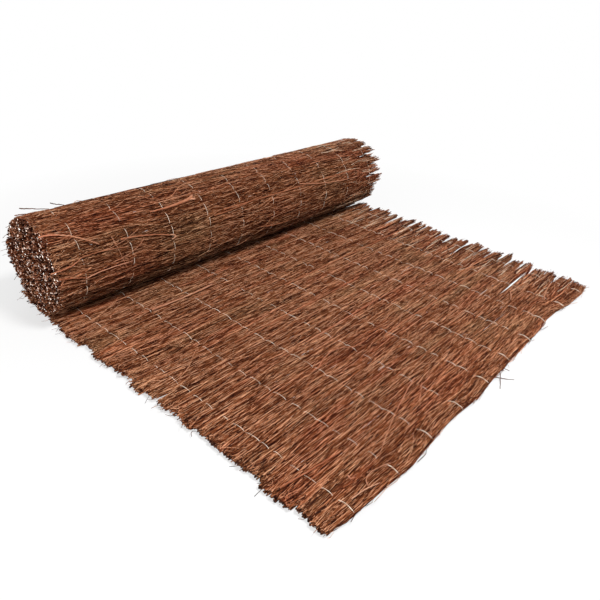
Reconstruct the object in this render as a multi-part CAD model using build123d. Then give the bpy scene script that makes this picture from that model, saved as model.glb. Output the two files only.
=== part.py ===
"""Heather screen fence, partly unrolled: a mat of heather bundles bound by rows of wire.

+X runs along the stems, from the near edge to the far one. +Y runs along the mat, from its free end to the
roll. +Z is up. The origin is on the ground, under the middle of the object's box.
"""

import os
import random
from math import cos, hypot, pi, radians, sin, sqrt

from build123d import *

# Heather mat, in millimetres
MAT_WIDTH = 1000.0  # along the stems, which is the fence's height when it stands
MAT_LENGTH = 3000.0  # the whole mat, rolled out
UNROLLED_LENGTH = 720.0  # the flat part, from the free end to the roll
MAT_THICKNESS = 11.0
BUNDLE_PITCH = 30.0
VALLEY_DEPTH = 3.2  # from a bundle's crest to the neck between two bundles
VALLEY_FLOOR = 8.0  # the flat bottom of a valley, in the flat part
PRESSED_DEPTH = 3.0  # how far the roll's inner side is pressed flat at a neck
CREST_SCATTER = 1.0  # how far the flat part's crests differ
NEAR_EDGE_RAG = 8.0  # how far the bundles' ends scatter about the near edge
FAR_EDGE_RAG = 16.0
TURN_GAP = 1.3  # between two turns of the roll, where the wires lie
CORE_RADIUS = 16.0

# Binding
WIRE_DIAMETER = 0.9
WIRE_SPACING = 100.0
WIRE_EDGE_MARGIN = 50.0
WIRE_CLEARANCE = 0.2
WIRE_TAIL = 5.0  # how far a back wire sticks out of the free end
STITCH_NIP = 30.0  # from the roll's lowest line to where the stitches go under it
BACK_WIRE_NIP = 24.0  # from the same line to where the back wires end in the nip
BUNDLES_PER_STITCH = 3
GAP_LENGTH = 14.0  # the parting in the heather that a stitch dips through, along the stems
GAP_WIDTH = 6.0
CATCH_WIDTH = 2.0  # the straight bottom of a dip, over the back wire

# Coarse stems
FLAT_STEMS = 5
ROLL_STEMS = 3
ROLL_STEM_FIRST_TURN = 115.0  # degrees round the roll, from its lowest line
ROLL_STEM_LAST_TURN = 250.0
STEM_DIAMETER = 3.0  # at the butt
STEM_TIP_DIAMETER = 2.0
STEM_LENGTH = 470.0
STEM_LENGTH_SCATTER = 90.0
STEM_EDGE_MARGIN = 40.0
STEM_CLEARANCE = 0.1
SEED = 11

# The roll: turns of one pitch on a core that takes up what isn't unrolled
ROLLED_LENGTH = MAT_LENGTH - UNROLLED_LENGTH
TURN_PITCH = MAT_THICKNESS + TURN_GAP
CORE_MIDLINE = CORE_RADIUS + MAT_THICKNESS / 2
ROLL_MIDLINE = sqrt(CORE_MIDLINE**2 + TURN_PITCH * ROLLED_LENGTH / pi)

FLAT_BUNDLES = round(UNROLLED_LENGTH / BUNDLE_PITCH)
FLAT_PITCH = UNROLLED_LENGTH / FLAT_BUNDLES
ROLL_BUNDLES = int(ROLLED_LENGTH // BUNDLE_PITCH)

# A coarse stem lies on a valley's floor in the flat part, and between two arched crests on the roll
STEM_RADIUS = STEM_DIAMETER / 2
STEM_ON_FLOOR = MAT_THICKNESS / 2 - VALLEY_DEPTH + STEM_CLEARANCE + STEM_RADIUS
CREST_RADIUS = ((BUNDLE_PITCH / 2) ** 2 + VALLEY_DEPTH**2) / (2 * VALLEY_DEPTH)
STEM_REACH = sqrt((CREST_RADIUS + STEM_RADIUS + STEM_CLEARANCE) ** 2 - (BUNDLE_PITCH / 2) ** 2)
STEM_ON_ROLL = MAT_THICKNESS / 2 - CREST_RADIUS + STEM_REACH

# The wires lie on the crests, or on the stems where those stand higher
WIRE_SEAT = max(MAT_THICKNESS / 2, max(STEM_ON_FLOOR, STEM_ON_ROLL) + STEM_RADIUS)
WIRE_HEIGHT = WIRE_SEAT + WIRE_CLEARANCE + WIRE_DIAMETER / 2
GROOVE_SIZE = WIRE_DIAMETER + 2 * WIRE_CLEARANCE
BACK_WIRE_Z = GROOVE_SIZE / 2
# The roll stands so high that the back wires run straight out of their grooves and round it
ROLL_CENTRE_Z = ROLL_MIDLINE + WIRE_HEIGHT + BACK_WIRE_Z

WIRE_LINES = int((MAT_WIDTH - 2 * WIRE_EDGE_MARGIN) // WIRE_SPACING) + 1
LINES = [WIRE_SPACING * (i - (WIRE_LINES - 1) / 2) for i in range(WIRE_LINES)]
STITCHED_VALLEYS = range(BUNDLES_PER_STITCH, FLAT_BUNDLES - 1, BUNDLES_PER_STITCH)


def turn_at(wound):
    """The turn of the roll, from its lowest line, after a length of mat wound into it."""
    radius_left = sqrt(ROLL_MIDLINE**2 - TURN_PITCH * wound / pi)
    return (ROLL_MIDLINE - radius_left) * 2 * pi / TURN_PITCH


def wound_at(turn):
    """The length of mat wound into the roll by a turn."""
    radius_left = ROLL_MIDLINE - TURN_PITCH * turn / (2 * pi)
    return (ROLL_MIDLINE**2 - radius_left**2) * pi / TURN_PITCH


def place(along, height):
    """(y, z) of a point of the mat: its distance from the free end, and its height above the mat's middle."""
    wound = along - UNROLLED_LENGTH
    if wound < 0:
        return wound, MAT_THICKNESS / 2 + height
    turn = turn_at(wound)
    radius = ROLL_MIDLINE - TURN_PITCH * turn / (2 * pi) - height
    return radius * sin(turn), ROLL_CENTRE_Z - radius * cos(turn)


def neck_along(index):
    """Distance from the free end to the neck before a bundle."""
    if index <= FLAT_BUNDLES:
        return index * FLAT_PITCH
    return UNROLLED_LENGTH + (index - FLAT_BUNDLES) * BUNDLE_PITCH


def crest_along(index):
    """Distance from the free end to a bundle's crest. The first bundle has no floor before it."""
    lean = VALLEY_FLOOR / 4 if index == 0 else 0.0
    return (neck_along(index) + neck_along(index + 1)) / 2 - lean


def flat_outline(index, drop):
    """The section of a bundle that lies flat: an arched crest between two halves of a valley's floor."""
    start, end = neck_along(index), neck_along(index + 1)
    valley = MAT_THICKNESS / 2 - VALLEY_DEPTH
    ground = -MAT_THICKNESS / 2
    arch_start = place(start + (VALLEY_FLOOR / 2 if index > 0 else 0.0), valley)
    arch_end = place(end - VALLEY_FLOOR / 2, valley)
    # The last bundle lifts off the ground, up to the roll's own underside
    end_low = ground + VALLEY_DEPTH if index == FLAT_BUNDLES - 1 else ground
    corners = [arch_end, place(end, valley), place(end, end_low), place(start, ground)]
    if index > 0:
        corners.append(place(start, valley))
    corners.append(arch_start)
    crest = place(crest_along(index), MAT_THICKNESS / 2 - drop)
    return [ThreePointArc(arch_start, crest, arch_end), Polyline(*corners)]


def rolled_outline(index):
    """The section of a bundle in the roll: arched on the outside, pressed flat on the inside."""
    start, end = neck_along(index), neck_along(index + 1)
    outer = VALLEY_DEPTH - MAT_THICKNESS / 2
    inner = MAT_THICKNESS / 2 - PRESSED_DEPTH
    first_inner = MAT_THICKNESS / 2 - VALLEY_DEPTH if index == FLAT_BUNDLES else inner
    crest = place(crest_along(index), -MAT_THICKNESS / 2)
    arch = ThreePointArc(place(start, outer), crest, place(end, outer))
    sides = Polyline(place(end, outer), place(end, inner), place(start, first_inner), place(start, outer))
    return [arch, sides]


def bundle(index, scatter):
    """One bundle: its section, as long as its own stems."""
    if index < FLAT_BUNDLES:
        outline = flat_outline(index, CREST_SCATTER * scatter.random())
    else:
        outline = rolled_outline(index)
    near_end = -MAT_WIDTH / 2 + scatter.uniform(-1, 1) * NEAR_EDGE_RAG
    far_end = MAT_WIDTH / 2 + scatter.uniform(-1, 1) * FAR_EDGE_RAG
    section = Plane.YZ.offset(near_end) * make_face(outline)
    return extrude(section, far_end - near_end)


def heather_mat():
    """All bundles as one wall, parted where the stitches dip through it, with a groove for each back wire."""
    scatter = random.Random(SEED)
    bundles = [bundle(i, scatter) for i in range(FLAT_BUNDLES + ROLL_BUNDLES)]
    mat = bundles[0].fuse(*bundles[1:])
    groove = Box(GROOVE_SIZE, UNROLLED_LENGTH, GROOVE_SIZE, align=(Align.CENTER, Align.MAX, Align.MIN))
    gap = Box(GAP_LENGTH, GAP_WIDTH, MAT_THICKNESS, align=(Align.CENTER, Align.CENTER, Align.MIN))
    cuts = [Pos(x, 0, 0) * groove for x in LINES]
    for valley in STITCHED_VALLEYS:
        y = neck_along(valley) - UNROLLED_LENGTH
        cuts += [Pos(x, y, 0) * gap for x in LINES]
    return mat.cut(*cuts)


def wire(x, route):
    """A square wire that follows a route of (y, z) points in the plane across the stems at x."""
    left, right = [], []
    for i, (y, z) in enumerate(route):
        before, after = route[max(i - 1, 0)], route[min(i + 1, len(route) - 1)]
        runs = [(y - before[0], z - before[1]), (after[0] - y, after[1] - z)]
        normals = [(-dz / hypot(dy, dz), dy / hypot(dy, dz)) for dy, dz in runs if hypot(dy, dz) > 0]
        ny, nz = (sum(part) / len(normals) for part in zip(*normals))
        reach = WIRE_DIAMETER / 2 / (ny**2 + nz**2)
        left.append((y + ny * reach, z + nz * reach))
        right.append((y - ny * reach, z - nz * reach))
    outline = Plane.YZ.offset(x) * make_face(Polyline(*left, *reversed(right), close=True))
    return extrude(outline, WIRE_DIAMETER / 2, both=True)


def back_wire_route():
    """Under the flat part in its groove, then round the outside of the roll's first turn and into the nip."""
    route = [(-UNROLLED_LENGTH - WIRE_TAIL, BACK_WIRE_Z), (0.0, BACK_WIRE_Z)]
    last_turn = 2 * pi - BACK_WIRE_NIP / ROLL_MIDLINE
    for index in range(FLAT_BUNDLES, FLAT_BUNDLES + ROLL_BUNDLES):
        start, crest, end = (
            turn_at(along - UNROLLED_LENGTH)
            for along in (neck_along(index), crest_along(index), neck_along(index + 1))
        )
        if crest > last_turn:
            break
        # Drawn out at each crest, so that its straight runs clear the valleys' stems
        y, z = place(crest_along(index), -WIRE_HEIGHT)
        drawn_out = 1 / cos((end - start) / 2)
        route.append((y * drawn_out, ROLL_CENTRE_Z + (z - ROLL_CENTRE_Z) * drawn_out))
    return route


def stitch_wire_route():
    """Down over the free end, over the crests, down through each parting to the back wire, and into the nip."""
    over = MAT_THICKNESS / 2 + WIRE_HEIGHT
    caught = BACK_WIRE_Z + WIRE_DIAMETER + WIRE_CLEARANCE
    clear_of_end = -UNROLLED_LENGTH - WIRE_CLEARANCE - WIRE_DIAMETER / 2
    route = [
        (clear_of_end, caught),
        (clear_of_end, over - VALLEY_DEPTH),
        (crest_along(0) / 2 - UNROLLED_LENGTH, over),
    ]
    for valley in STITCHED_VALLEYS:
        y = neck_along(valley) - UNROLLED_LENGTH
        route += [(y - GAP_WIDTH / 2, over), (y - CATCH_WIDTH / 2, caught)]
        route += [(y + CATCH_WIDTH / 2, caught), (y + GAP_WIDTH / 2, over)]
    route.append((-STITCH_NIP, over))
    return route


def coarse_stem(valley, scatter):
    """A tapering stem in the valley before a bundle, on the side that shows, under the wires."""
    height = STEM_ON_FLOOR if valley < FLAT_BUNDLES else -STEM_ON_ROLL
    y, z = place(neck_along(valley), height)
    length = STEM_LENGTH + scatter.uniform(-1, 1) * STEM_LENGTH_SCATTER
    room = MAT_WIDTH / 2 - STEM_EDGE_MARGIN - length / 2
    middle = scatter.uniform(-1, 1) * room
    way = scatter.choice((-1, 1))
    ends = []
    for x, radius in ((middle - way * length / 2, STEM_RADIUS), (middle + way * length / 2, STEM_TIP_DIAMETER / 2)):
        ends.append(Plane((x, y, z), x_dir=(0, 1, 0), z_dir=(1, 0, 0)) * RegularPolygon(radius, 6))
    return loft(ends)


def stem_valleys():
    """The valleys that hold coarse stems: spread over the flat part beside its stitches, and over the roll."""
    bays = len(STITCHED_VALLEYS)
    valleys = [BUNDLES_PER_STITCH * (1 + i * (bays - 1) // FLAT_STEMS) + 1 for i in range(FLAT_STEMS)]
    for i in range(ROLL_STEMS):
        share = i / max(ROLL_STEMS - 1, 1)
        turn = radians(ROLL_STEM_FIRST_TURN + share * (ROLL_STEM_LAST_TURN - ROLL_STEM_FIRST_TURN))
        valleys.append(FLAT_BUNDLES + round(wound_at(turn) / BUNDLE_PITCH))
    return valleys


def build():
    """Every sub-part by its node's name, with the ground under the middle of their box as the origin."""
    parts = {"heather_mat": heather_mat()}
    for number, x in enumerate(LINES, 1):
        parts[f"back_wire_{number:02d}"] = wire(x, back_wire_route())
        parts[f"stitch_wire_{number:02d}"] = wire(x, stitch_wire_route())
    scatter = random.Random(SEED)
    for number, valley in enumerate(stem_valleys(), 1):
        parts[f"coarse_stem_{number:02d}"] = coarse_stem(valley, scatter)
    boxes = [part.bounding_box() for part in parts.values()]
    middle_x = (min(b.min.X for b in boxes) + max(b.max.X for b in boxes)) / 2
    middle_y = (min(b.min.Y for b in boxes) + max(b.max.Y for b in boxes)) / 2
    lowest = min(b.min.Z for b in boxes)
    return {name: Pos(-middle_x, -middle_y, -lowest) * part for name, part in parts.items()}


os.makedirs("parts", exist_ok=True)
for name, part in build().items():
    export_step(part, f"parts/{name}.step")
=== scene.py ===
"""Heather screen fence, partly unrolled: its stems, its binding wire and their finishes.

Sizes are in metres. +X runs along the stems from the near cut edge to the far one, +Y along the mat
from its free end to the roll, and +Z up. A place on the mat is given as (across, along, height):
across is X from the middle of the mat, along is the distance from the free end, measured in the mat,
and height is the distance from the middle of its thickness, towards the top of the flat part.
"""

import logging
import math
from dataclasses import dataclass, field, fields
from enum import Enum
from types import SimpleNamespace

import bmesh
import bpy
import numpy as np
from mathutils import Matrix, Vector


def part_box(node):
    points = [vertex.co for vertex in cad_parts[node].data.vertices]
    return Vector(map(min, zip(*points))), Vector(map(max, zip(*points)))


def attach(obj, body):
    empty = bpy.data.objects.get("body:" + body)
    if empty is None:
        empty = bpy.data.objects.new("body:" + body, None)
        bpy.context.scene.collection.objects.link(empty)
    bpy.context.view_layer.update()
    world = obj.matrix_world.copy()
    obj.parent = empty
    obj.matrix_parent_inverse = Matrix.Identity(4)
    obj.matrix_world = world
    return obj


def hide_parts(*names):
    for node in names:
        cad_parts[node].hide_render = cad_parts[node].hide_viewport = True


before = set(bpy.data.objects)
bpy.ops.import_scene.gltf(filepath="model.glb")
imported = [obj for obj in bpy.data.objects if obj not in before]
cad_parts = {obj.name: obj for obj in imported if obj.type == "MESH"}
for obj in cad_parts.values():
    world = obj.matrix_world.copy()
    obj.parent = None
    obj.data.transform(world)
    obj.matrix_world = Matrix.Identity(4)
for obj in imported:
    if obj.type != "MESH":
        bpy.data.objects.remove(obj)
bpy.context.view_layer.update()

LOG = logging.getLogger("heather_screen")
BODY = "root"
BAKE_MAP = "OFBake"
WIRE_LINES = 10
FIRST_WIRE = -0.45
WIRE_SPACING = 0.1
STEM_NODES = 8
WHITE = (1.0, 1.0, 1.0, 1.0)
UP = Vector((0.0, 0.0, 1.0))

Number = "float | Formula"
Range = tuple[float, float]
Stops = tuple[tuple[float, str], ...]


class Face(Enum):
    """The two faces of the mat, by the sign of a height on them."""

    TOP = 1.0
    UNDER = -1.0


class Bark(Enum):
    """The finishes of the stems, by their materials' names."""

    BROWN = "heather_bark"
    CUT = "heather_ends"
    # Pale bark with painted highlights, for twigs laid over the edges.
    WORN = "worn_bark"
    COARSE = "coarse_bark"


class Ground(Enum):
    """What a loose stem lies on: the flat part, or the outside of the roll."""

    FLAT = "flat"
    ROLL = "roll"


class Draw(Enum):
    """The random numbers that place a stem, by the stream that each one comes from."""

    MIDDLE = 1
    LENGTH = 2
    SEAT = 3
    NEAR_END = 4
    FAR_END = 5
    LEAN = 6
    BOW = 7
    HEIGHT = 8
    RADIUS = 9
    TAPER = 10
    TINT = 11
    FREE_END = 12
    FREE_REACH = 13
    PARTED = 14
    BUNDLE_NEAR_END = 71
    BUNDLE_FAR_END = 72
    BUNDLE_FAR_GATHER = 73
    BUNDLE_NEAR_GATHER = 74
    BUNDLE_DRIFT = 75
    TUFT_FAR_END = 76
    TUFT_GATHER = 77


class StitchDraw(Enum):
    """The random numbers that place a stitch, by the stream that each one comes from."""

    PLACE = 1
    LENGTH = 2
    SLANT = 3
    BURIED = 4
    TINT = 5
    RADIUS = 6


# The sockets that take a dataclass's numbers, by the type of the field
SOCKETS = {int: "NodeSocketInt", float: "NodeSocketFloat", Face: "NodeSocketFloat"}


def linear(code: str) -> tuple[float, float, float, float]:
    """Turn a colour as written on screen into the renderer's own values.

    Args:
        code: six hexadecimal digits, red first.

    Returns:
        Red, green, blue and an alpha of 1.
    """
    shares = [int(code[i:i + 2], 16) / 255 for i in (0, 2, 4)]
    red, green, blue = [c / 12.92 if c <= 0.04045 else ((c + 0.055) / 1.055) ** 2.4 for c in shares]
    return red, green, blue, 1.0


def numbered(name: str, count: int) -> list[str]:
    """List the names of a row of fixed solids, counted from 01."""
    return [f"{name}_{number:02d}" for number in range(1, count + 1)]


@dataclass(frozen=True)
class Bulge:
    """A stretch of the free end that stands out (below 0) or in (above 0)."""

    across: float
    width: float
    size: float


@dataclass(frozen=True)
class MatPath:
    """The middle of the mat: flat on the ground from the free end, then wound up from below."""

    free_end_y: float
    middle_x: float
    unrolled: float = 0.720
    rolled: float = 2.280
    thickness: float = 0.011
    turn_pitch: float = 0.0123
    core_midline: float = 0.0215
    least_square: float = 1e-6
    roll_lift: float = 0.006845
    bundle_pitch: float = 0.030
    tuft_pitch: float = 0.010
    valley_floor: float = 0.008
    bulge_depth: Range = (0.01, 0.06)
    bulges: tuple[Bulge, ...] = (
        Bulge(0.0, 9.0, -0.004),
        Bulge(-0.54, 0.07, 0.013),
        Bulge(-0.31, 0.06, -0.007),
        Bulge(-0.10, 0.035, -0.006),
        Bulge(0.285, 0.04, 0.011),
        Bulge(0.43, 0.075, -0.007),
    )

    @property
    def roll_midline(self) -> float:
        """Radius of the mat's middle where the outermost turn starts."""
        return math.sqrt(self.core_midline ** 2 + self.turn_pitch * self.rolled / math.pi)

    @property
    def roll_centre_y(self) -> float:
        """Y of the roll's axis."""
        return self.free_end_y + self.unrolled

    @property
    def roll_centre_z(self) -> float:
        """Z of the roll's axis."""
        return self.roll_lift + self.roll_midline

    def point(self, across: float, along: float, height: float) -> Vector:
        """Find a place on the mat.

        Args:
            across: X from the middle of the mat.
            along: distance from the free end, in the mat.
            height: distance from the middle of the thickness.

        Returns:
            The place in the object's frame.
        """
        wound = along - self.unrolled
        x = self.middle_x + across
        if wound < 0:
            return Vector((x, self.roll_centre_y + wound, self.thickness / 2 + height))
        square = self.roll_midline ** 2 - self.turn_pitch * wound / math.pi
        left = math.sqrt(max(square, self.least_square))
        turn = (self.roll_midline - left) * 2 * math.pi / self.turn_pitch
        radius = left - height
        y = self.roll_centre_y + radius * math.sin(turn)
        return Vector((x, y, self.roll_centre_z - radius * math.cos(turn)))

    def free_end_at(self, across: float) -> float:
        """Where the free end lies, along the mat, at a place across it."""
        return sum(b.size * math.exp(-(((across - b.across) / b.width) ** 2)) for b in self.bulges)

    def along_at_turn(self, degrees: float) -> float:
        """Distance from the free end to an angle on the outermost turn, counted from the bottom."""
        left = self.roll_midline - self.turn_pitch * degrees / 360
        return self.unrolled + (self.roll_midline ** 2 - left ** 2) * math.pi / self.turn_pitch


class Formula:
    """A number that a node tree works out, with the signs of plain arithmetic."""

    def __init__(self, maker: "NodeMaker", socket: bpy.types.NodeSocket) -> None:
        """Keep the tree's maker and the socket that carries the number."""
        self.maker = maker
        self.socket = socket

    def __add__(self, other: Number) -> "Formula":
        """Add."""
        return self.maker.math("ADD", self, other)

    def __sub__(self, other: Number) -> "Formula":
        """Subtract."""
        return self.maker.math("SUBTRACT", self, other)

    def __rsub__(self, other: Number) -> "Formula":
        """Subtract, from the right."""
        return self.maker.math("SUBTRACT", other, self)

    def __mul__(self, other: Number) -> "Formula":
        """Multiply."""
        return self.maker.math("MULTIPLY", self, other)

    def __truediv__(self, other: Number) -> "Formula":
        """Divide."""
        return self.maker.math("DIVIDE", self, other)

    def __pow__(self, other: Number) -> "Formula":
        """Raise to a power."""
        return self.maker.math("POWER", self, other)


class NodeMaker:
    """Adds nodes to one node tree."""

    def __init__(self, tree: bpy.types.NodeTree) -> None:
        """Keep the tree."""
        self.tree = tree

    def put(self, socket: bpy.types.NodeSocket, value: object) -> None:
        """Link a formula or socket to an input, or set a plain value on it."""
        if isinstance(value, Formula):
            value = value.socket
        if isinstance(value, bpy.types.NodeSocket):
            self.tree.links.new(value, socket)
        else:
            socket.default_value = value

    def node(self, kind: str, inputs: dict[object, object], **settings: object) -> bpy.types.Node:
        """Add a node.

        Args:
            kind: the node's type.
            inputs: values or links by socket name or number.
            settings: the node's own options.

        Returns:
            The node.
        """
        made = self.tree.nodes.new(kind)
        for key, value in settings.items():
            setattr(made, key, value)
        for key, value in inputs.items():
            if isinstance(key, str):
                socket = next(s for s in made.inputs if s.name == key and s.enabled)
            else:
                socket = made.inputs[key]
            self.put(socket, value)
        return made

    def out(self, kind: str, inputs: dict[object, object], **settings: object) -> bpy.types.NodeSocket:
        """Add a node and give back its first output."""
        return self.node(kind, inputs, **settings).outputs[0]

    def math(self, operation: str, *values: object) -> Formula:
        """Do one step of arithmetic."""
        return Formula(self, self.out("ShaderNodeMath", dict(enumerate(values)), operation=operation))

    def remap(self, value: object, old: Range, new: Range, **settings: object) -> Formula:
        """Carry a number from one pair of limits to another.

        Args:
            value: the number.
            old: its limits now.
            new: what the limits become.
            settings: the node's own options.

        Returns:
            The number between the new limits.
        """
        limits = dict(enumerate((value, *old, *new)))
        return Formula(self, self.out("ShaderNodeMapRange", limits, **settings))

    def ease(self, value: Formula, low: float, high: float) -> Formula:
        """Go smoothly from 0 at the low limit to 1 at the high one."""
        return self.remap(value, (low, high), (0.0, 1.0), interpolation_type="SMOOTHSTEP")

    def seen_directly(self) -> Formula:
        """1 where the camera or a reflection sees a thing, 0 where it only gives light."""
        ray = self.node("ShaderNodeLightPath", {})
        return self.math("MAXIMUM", ray.outputs["Is Camera Ray"], ray.outputs["Is Glossy Ray"])


class TreeMaker(NodeMaker):
    """Builds one Geometry Nodes tree that makes strands, and runs it into plain meshes."""

    NOISE_GAIN = 3.2

    def __init__(self, name: str, *kinds: type) -> None:
        """Start a tree with the inputs that it needs, and nothing between them and its end.

        Args:
            name: the tree's name.
            kinds: dataclasses. Each number that they hold is an input, and each pair is two.
        """
        super().__init__(bpy.data.node_groups.new(name, "GeometryNodeTree"))
        self.names: dict[str, str] = {}
        for end in ("INPUT", "OUTPUT"):
            self.tree.interface.new_socket("Geometry", in_out=end, socket_type="NodeSocketGeometry")
        self.start = self.tree.nodes.new("NodeGroupInput")
        self.end = self.tree.nodes.new("NodeGroupOutput")
        self.given = SimpleNamespace()
        self.add_input("finish", "NodeSocketMaterial")
        for part in (part for kind in kinds for part in fields(kind)):
            if part.type == Range:
                self.add_input(f"{part.name}_from", SOCKETS[float])
                self.add_input(f"{part.name}_to", SOCKETS[float])
            elif part.type in SOCKETS:
                self.add_input(part.name, SOCKETS[part.type])

    def add_input(self, name: str, kind: str) -> None:
        """Add an input under a readable name, and keep the number that it brings in given.

        Args:
            name: its name in given, in small letters.
            kind: its socket type.
        """
        label = name.replace("_", " ").title()
        socket = self.tree.interface.new_socket(label, in_out="INPUT", socket_type=kind)
        self.names[name] = socket.identifier
        setattr(self.given, name, Formula(self, self.start.outputs[label]))

    def random(self, low: Number, high: Number, of: Formula, seed: object) -> Formula:
        """A random number between two limits, fixed for each item and seed."""
        made = self.node("FunctionNodeRandomValue", {2: low, 3: high, 7: of, 8: seed}, data_type="FLOAT")
        return Formula(self, made.outputs[1])

    def pick(self, draw: Enum, low: Number, high: Number) -> Formula:
        """One of a strand's own random numbers, between two limits."""
        return self.random(low, high, self.strand, self.given.seed + float(draw.value))

    def vector(self, x: Number, y: Number, z: Number) -> Formula:
        """Join three numbers into a vector."""
        return Formula(self, self.out("ShaderNodeCombineXYZ", {0: x, 1: y, 2: z}))

    def noise(self, x: Number, y: Number, z: float = 0.0, detail: float = 1.0) -> Formula:
        """Smooth noise about zero, nearly all of it between -1 and 1."""
        inputs = {"Vector": self.vector(x, y, z), "Scale": 1.0, "Detail": detail}
        return (Formula(self, self.out("ShaderNodeTexNoise", inputs)) - 0.5) * self.NOISE_GAIN

    def lay(self, path: MatPath, across: Formula, along: Formula, height: Formula, floor: Number) -> Formula:
        """Put a place on the mat into the object's frame, as MatPath.point does.

        Args:
            path: the mat's middle.
            across: X from the middle of the mat.
            along: distance from the free end.
            height: distance from the middle of the thickness.
            floor: the least Z.

        Returns:
            The place, as a vector.
        """
        wound = along - path.unrolled
        on_roll = self.math("GREATER_THAN", wound, 0.0)
        turned = self.math("MAXIMUM", wound, 0.0) * (path.turn_pitch / math.pi)
        square = self.math("MAXIMUM", path.roll_midline ** 2 - turned, path.least_square)
        left = self.math("SQRT", square)
        turn = (path.roll_midline - left) * (2 * math.pi / path.turn_pitch)
        radius = left - height
        roll_y = radius * self.math("SINE", turn)
        roll_z = path.roll_centre_z - radius * self.math("COSINE", turn)
        flat_y = self.math("MINIMUM", wound, 0.0)
        flat_z = height + path.thickness / 2
        y = flat_y + roll_y * on_roll + path.roll_centre_y
        z = flat_z + (roll_z - flat_z) * on_roll
        return self.vector(across + path.middle_x, y, self.math("MAXIMUM", z, floor))

    def strands(self, count: Formula) -> bpy.types.NodeSocket:
        """Lay out straight strands, one for each number up to a count.

        From then on, strand is each point's strand number, and share is how far along it lies.

        Args:
            count: how many.

        Returns:
            The strands.
        """
        cloud = self.out("GeometryNodePoints", {"Count": count})
        number = self.out("GeometryNodeInputIndex", {})
        named = self.out(
            "GeometryNodeStoreNamedAttribute", {"Geometry": cloud, "Name": "strand", "Value": number},
            data_type="INT", domain="POINT",
        )
        line = self.out("GeometryNodeCurvePrimitiveLine", {})
        divided = self.out("GeometryNodeResampleCurve", {"Curve": line, "Count": self.given.points})
        placed = self.out("GeometryNodeInstanceOnPoints", {"Points": named, "Instance": divided})
        strand = self.out("GeometryNodeInputNamedAttribute", {"Name": "strand"}, data_type="INT")
        self.strand = Formula(self, strand)
        self.share = Formula(self, self.out("GeometryNodeSplineParameter", {}))
        return self.out("GeometryNodeRealizeInstances", {0: placed})

    def finish(
        self, strands: bpy.types.NodeSocket, place: Formula, radius: Formula, tint: Formula
    ) -> None:
        """Bend the strands into place, give them thickness and their finish, and end the tree.

        Args:
            strands: the straight strands.
            place: each point's place.
            radius: each point's radius.
            tint: a number from 0 to 1 that the finish colours by.
        """
        tinted = self.out(
            "GeometryNodeStoreNamedAttribute", {"Geometry": strands, "Name": "tint", "Value": tint},
            data_type="FLOAT", domain="POINT",
        )
        thick = self.out("GeometryNodeSetCurveRadius", {"Curve": tinted, "Radius": radius})
        bent = self.out("GeometryNodeSetPosition", {"Geometry": thick, "Position": place})
        ring = self.out("GeometryNodeCurvePrimitiveCircle", {"Resolution": self.given.sides, "Radius": 1.0})
        size = self.out("GeometryNodeInputRadius", {})
        tube = {"Curve": bent, "Profile Curve": ring, "Scale": size, "Fill Caps": True}
        smooth = self.out("GeometryNodeSetShadeSmooth", {0: self.out("GeometryNodeCurveToMesh", tube)})
        real = self.out("GeometryNodeRealizeInstances", {0: smooth})
        dressed = self.out("GeometryNodeSetMaterial", {"Geometry": real, "Material": self.given.finish})
        self.put(self.end.inputs[0], dressed)

    def run(self, name: str, finish: bpy.types.Material, *sizes: object) -> bpy.types.Object:
        """Run the tree once and keep the result as a plain mesh.

        Args:
            name: the piece's name.
            finish: its material.
            sizes: one of each kind of dataclass that the tree was started with.

        Returns:
            The piece, with no modifier left on it.
        """
        host = bpy.data.objects.new(name, bpy.data.meshes.new(name))
        bpy.context.scene.collection.objects.link(host)
        modifier = host.modifiers.new("grow", "NODES")
        modifier.node_group = self.tree
        values = {"finish": finish}
        for part, value in ((part, getattr(held, part.name)) for held in sizes for part in fields(held)):
            if part.type == Range:
                values[f"{part.name}_from"], values[f"{part.name}_to"] = value
            elif part.type in SOCKETS:
                values[part.name] = value.value if isinstance(value, Enum) else value
        for key, value in values.items():
            modifier[self.names[key]] = value
        graph = bpy.context.evaluated_depsgraph_get()
        graph.update()
        mesh = bpy.data.meshes.new_from_object(
            host.evaluated_get(graph), preserve_all_data_layers=True, depsgraph=graph
        )
        host.modifiers.remove(modifier)
        mesh.name = name
        host.data = mesh
        return host


def lay_bake_map(mesh: bpy.types.Mesh, points: int, sides: int) -> None:
    """Give each strand of a mesh its own cell of a map, so that its colours can be baked.

    Args:
        mesh: strands of one size of grid, one after another.
        points: rings of vertices in each strand.
        sides: vertices in each ring.
    """
    u_margin, v_margin, cap_reach = 0.14, 0.1, 0.06
    corners = len(mesh.loops)
    vertex = np.empty(corners, dtype=np.int64)
    mesh.loops.foreach_get("vertex_index", vertex)
    sizes = np.empty(len(mesh.polygons), dtype=np.int64)
    mesh.polygons.foreach_get("loop_total", sizes)
    starts = np.cumsum(sizes) - sizes

    def span(values: np.ndarray) -> np.ndarray:
        """How far the values at the corners of a face differ, for each of its corners."""
        return np.repeat(np.maximum.reduceat(values, starts) - np.minimum.reduceat(values, starts), sizes)

    strand = vertex // (points * sides)
    ring = (vertex % (points * sides)) // sides
    side = vertex % sides
    cap = span(ring) == 0
    seam = (span(side) > 1) & ~cap
    side[seam & (side == 0)] = sides
    cells = math.ceil(math.sqrt(strand.max() + 1))
    u = u_margin + (1 - 2 * u_margin) * ring / (points - 1)
    v = v_margin + (1 - 2 * v_margin) * side / sides
    u = np.where(cap, u + np.where(ring == 0, -cap_reach, cap_reach) * (side > 0), u)
    flat = np.empty(corners * 2, dtype=np.float32)
    flat[0::2] = (strand % cells + u) / cells
    flat[1::2] = (strand // cells + v) / cells
    layer = mesh.uv_layers.new(name=BAKE_MAP)
    layer.data.foreach_set("uv", flat)


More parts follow.
